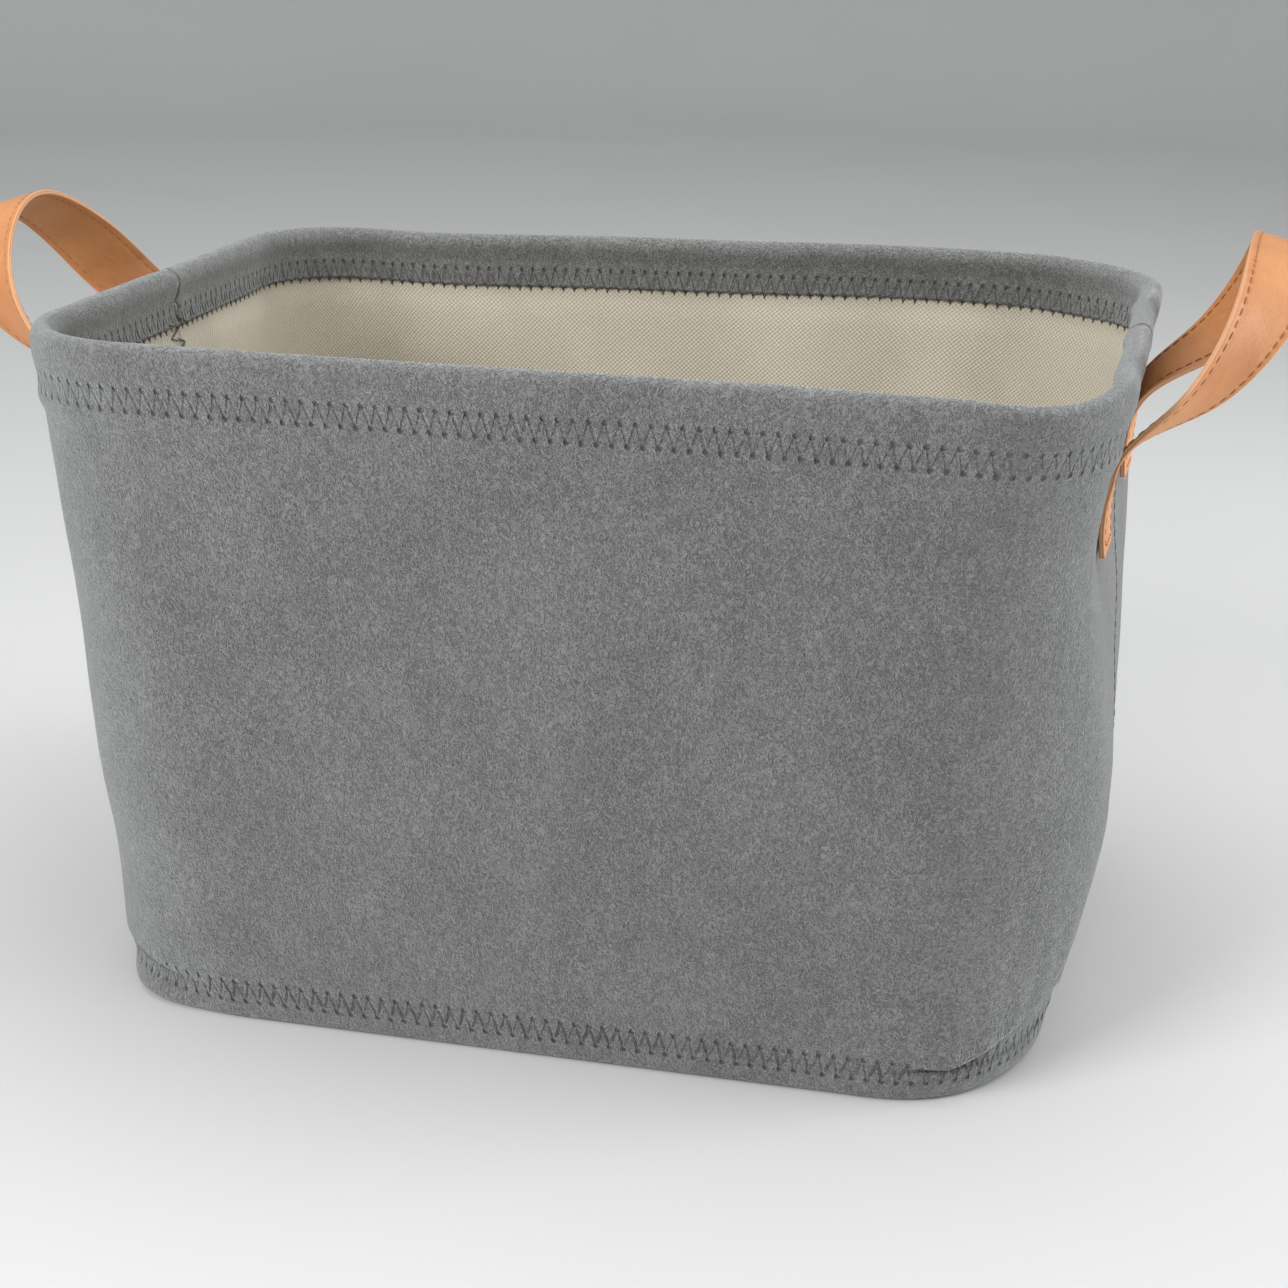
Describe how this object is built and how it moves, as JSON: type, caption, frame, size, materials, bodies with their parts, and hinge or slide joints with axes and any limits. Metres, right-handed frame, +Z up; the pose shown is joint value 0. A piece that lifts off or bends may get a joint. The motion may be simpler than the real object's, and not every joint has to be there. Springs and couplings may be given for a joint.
{
  "type": "fabric storage bin",
  "caption": "Open rectangular fabric storage bin with rounded corners, a wired rolled rim, a beige lining and a leather strap loop on each short side.",
  "frame": {"origin": "centre of the base's underside, on the surface that the bin stands on", "axes": "+X along the long side towards the right strap loop, -Y towards the front, +Z up"},
  "size_m": [0.5097, 0.284, 0.2811],
  "materials": {
    "velour": "short-pile grey microfibre velour",
    "lining": "beige embossed lining cloth",
    "interlining": "stiff bonded interlining",
    "board": "grey-brown fibreboard",
    "steel": "drawn wire",
    "leather": "tan smooth leather, outer face",
    "leather_back": "tan leather, inner face",
    "thread": "dark grey twisted polyester sewing thread"
  },
  "bodies": {
    "bin": {"front_outer_panel": "velour", "back_outer_panel": "velour", "base_panel": "velour", "front_interlining": "interlining", "back_interlining": "interlining", "front_lining": "lining", "back_lining": "lining", "base_lining": "lining", "base_board": "board", "rim_wire": "steel", "rim_wire_sleeve": "steel", "right_strap_front_end_outer": "leather", "right_strap_back_end_outer": "leather", "right_strap_front_end_inner": "leather_back", "right_strap_back_end_inner": "leather_back", "left_strap_front_end_outer": "leather", "left_strap_back_end_outer": "leather", "left_strap_front_end_inner": "leather_back", "left_strap_back_end_inner": "leather_back", "rim_needle_thread": "thread", "rim_bobbin_thread": "thread", "base_needle_thread": "thread", "right_seam_thread": "thread", "right_lining_seam_thread": "thread", "left_seam_thread": "thread", "left_lining_seam_thread": "thread"},
    "right_handle": {"right_strap_loop_outer": "leather", "right_strap_loop_inner": "leather_back"},
    "left_handle": {"left_strap_loop_outer": "leather", "left_strap_loop_inner": "leather_back"}
  },
  "joints": [
    {"name": "right_handle_swing", "type": "hinge", "parent": "bin", "child": "right_handle", "pos_m": [0.18887, 0, 0.203], "axis": [0, 1, 0], "range_deg": [-10, 110], "stiffness_Nm_per_rad": 0.05, "springref_deg": -4.58},
    {"name": "left_handle_swing", "type": "hinge", "parent": "bin", "child": "left_handle", "pos_m": [-0.18887, 0, 0.203], "axis": [0, -1, 0], "range_deg": [-15, 105], "stiffness_Nm_per_rad": 0.05, "springref_deg": -4.58}
  ]
}
